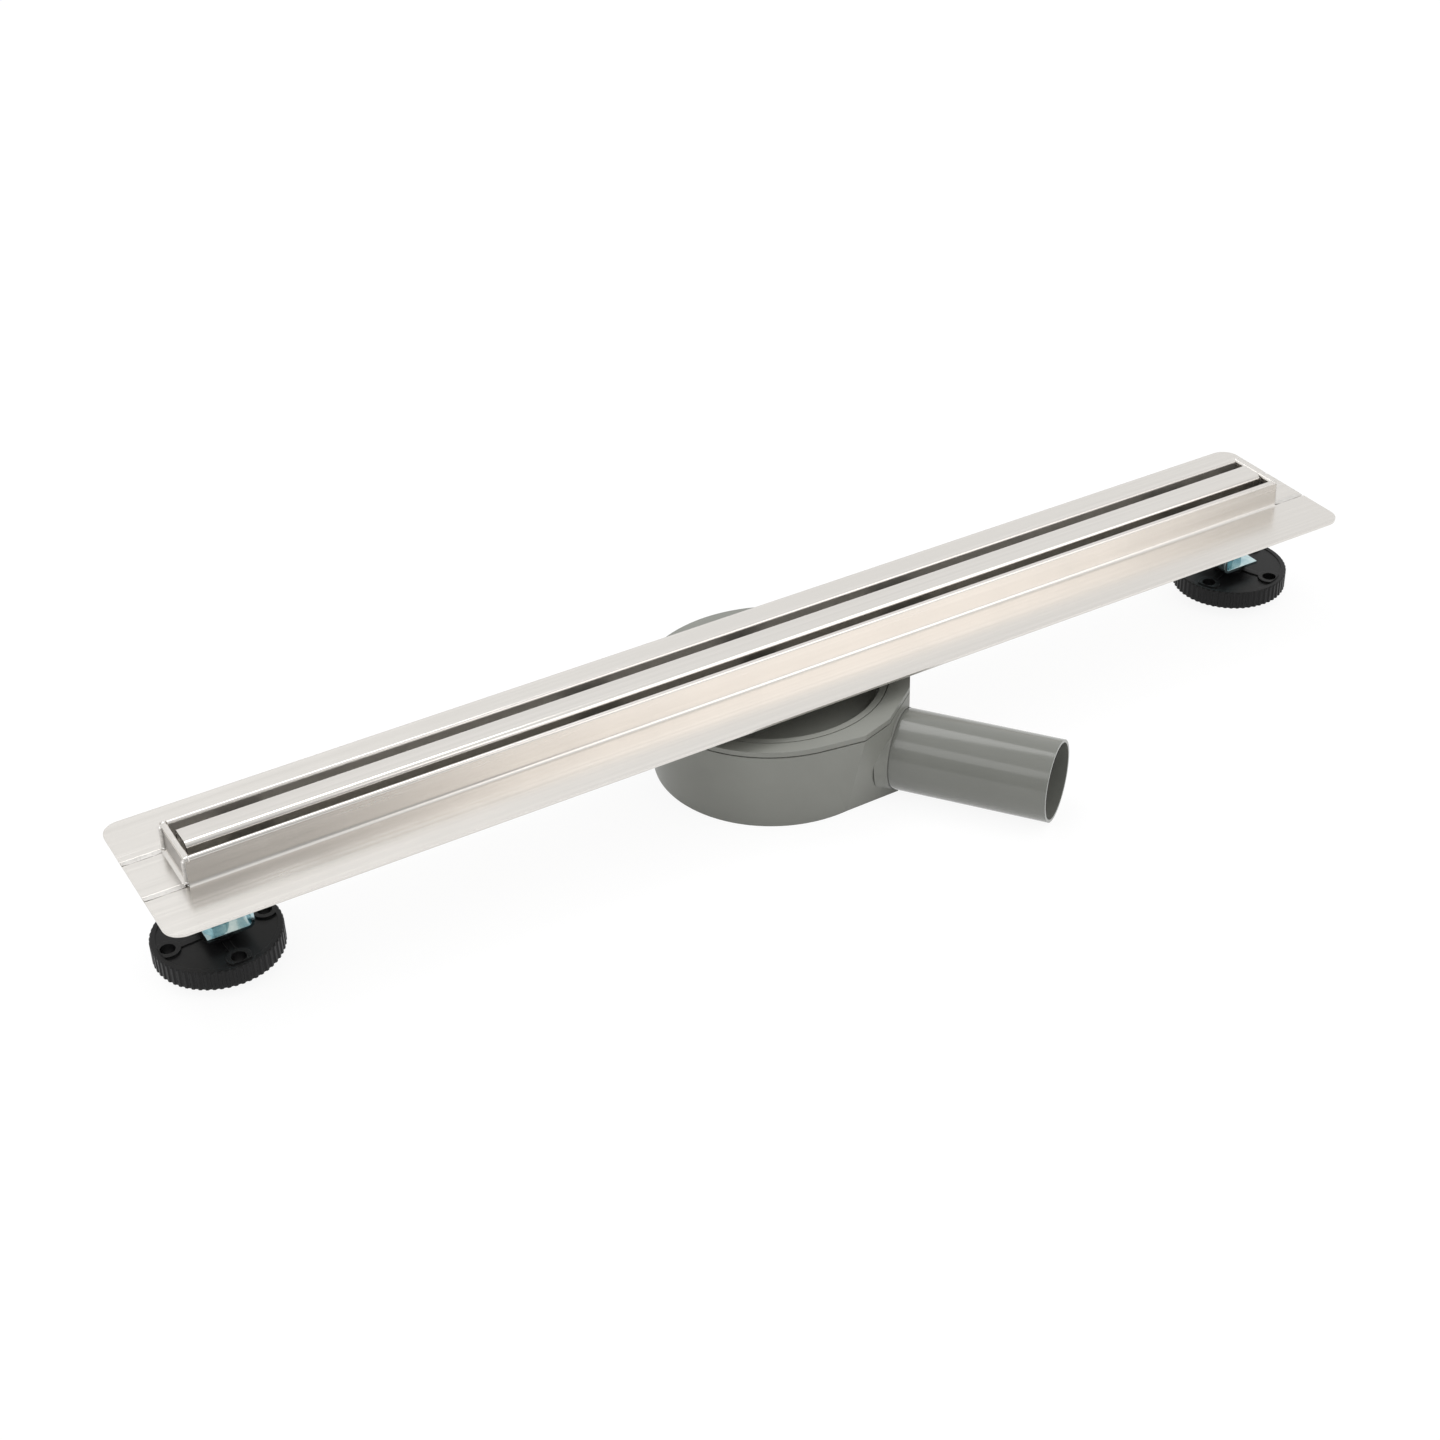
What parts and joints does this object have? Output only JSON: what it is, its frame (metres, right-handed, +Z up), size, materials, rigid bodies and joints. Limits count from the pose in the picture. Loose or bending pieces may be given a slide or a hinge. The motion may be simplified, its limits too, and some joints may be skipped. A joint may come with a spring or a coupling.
{
  "type": "linear shower drain",
  "caption": "Linear shower drain: folded stainless channel with a flange and a narrow cover strip, levelling feet on brackets, and a round plastic trap with a level side outlet pipe.",
  "frame": {"origin": "on the floor under the centre of the trap, in the plane of the trap's base", "axes": "+X along the channel, +Y across it away from the outlet, +Z up through the cover strip"},
  "size_m": [0.8, 0.2392, 0.0878],
  "materials": {
    "brushed_stainless": "fine brushed stainless steel, grain along the channel, brighter rolled edges",
    "weld_metal": "bright rippled weld metal, ground on the flange",
    "zinc_plate": "bright zinc plating with a pale blue tint",
    "grey_plastic": "satin moulded grey plastic",
    "grey_pipe": "smooth glossy grey extruded plastic",
    "black_plastic": "fine-textured black moulded plastic",
    "seal_rubber": "black rubber"
  },
  "bodies": {
    "channel": {"channel_body": "brushed_stainless", "end_plate_left": "brushed_stainless", "end_plate_right": "brushed_stainless", "outlet_spigot": "brushed_stainless", "cover_strip": "brushed_stainless", "strip_support_1": "brushed_stainless", "strip_support_2": "brushed_stainless", "strip_support_3": "brushed_stainless", "strip_support_4": "brushed_stainless", "weld_beads_left": "weld_metal", "weld_beads_right": "weld_metal", "bracket_left": "zinc_plate", "bracket_right": "zinc_plate", "bracket_stud_left": "zinc_plate", "bracket_stud_right": "zinc_plate", "bracket_nut_left": "zinc_plate", "bracket_nut_right": "zinc_plate", "foot_nut_left": "zinc_plate", "foot_nut_right": "zinc_plate"},
    "trap": {"trap_body": "grey_plastic", "trap_lid": "grey_plastic", "trap_dish": "grey_plastic", "dip_tube": "grey_plastic", "siphon_cup": "grey_plastic", "outlet_pipe": "grey_pipe", "lid_seal": "seal_rubber", "neck_seal": "seal_rubber"},
    "foot_left": {"foot_disc_left": "black_plastic", "foot_bolt_left": "zinc_plate"},
    "foot_right": {"foot_disc_right": "black_plastic", "foot_bolt_right": "zinc_plate"}
  },
  "joints": [
    {"name": "trap_swivel", "type": "hinge", "parent": "channel", "child": "trap", "pos_m": [0, 0, 0.0575], "axis": [0, 0, 1], "continuous": true},
    {"name": "foot_left_height", "type": "slide", "parent": "channel", "child": "foot_left", "axis": [0, 0, 1], "range_m": [-0.02, 0]},
    {"name": "foot_right_height", "type": "slide", "parent": "channel", "child": "foot_right", "axis": [0, 0, 1], "range_m": [-0.02, 0]}
  ]
}
